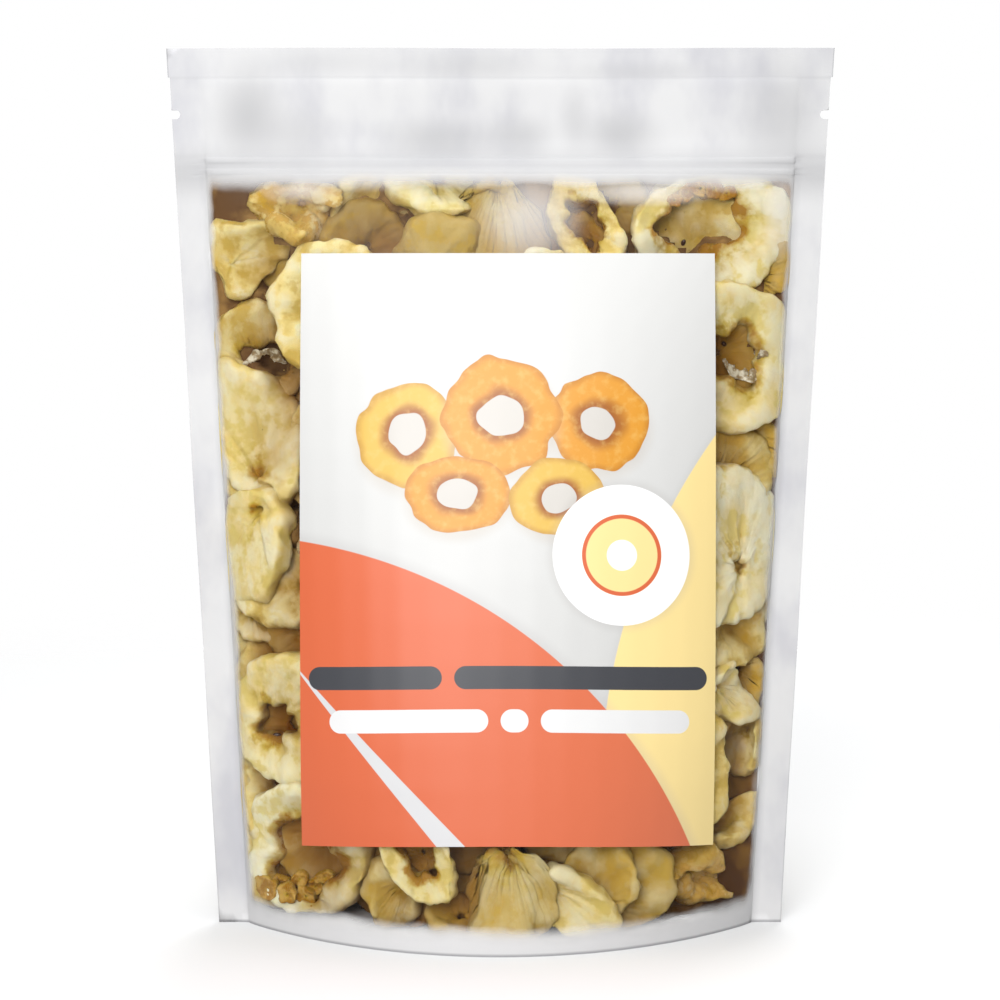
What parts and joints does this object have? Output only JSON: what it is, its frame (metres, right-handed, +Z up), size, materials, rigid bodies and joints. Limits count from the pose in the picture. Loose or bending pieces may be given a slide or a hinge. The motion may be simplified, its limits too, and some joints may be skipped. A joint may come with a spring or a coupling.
{
  "type": "stand-up pouch of dried apple rings",
  "caption": "Stand-up zip pouch of clear film with frosted seals, filled with dried apple rings and sealed at the top, with a paper label on its front.",
  "frame": {"origin": "on the ground, under the middle of the pouch", "axes": "+Z up, the front with the label faces -Y, +X to the right as seen from the front"},
  "size_m": [0.2234, 0.0946, 0.297],
  "materials": {
    "film": "clear film with frosted white seals, satin",
    "label": "printed paper label, satin",
    "apple_rings": "dried apple flesh, leathery and matt, pale straw yellow with amber edges",
    "zip": "translucent white zip strip"
  },
  "bodies": {
    "root": {"filled_pouch": "film", "label": "label"}
  },
  "joints": []
}
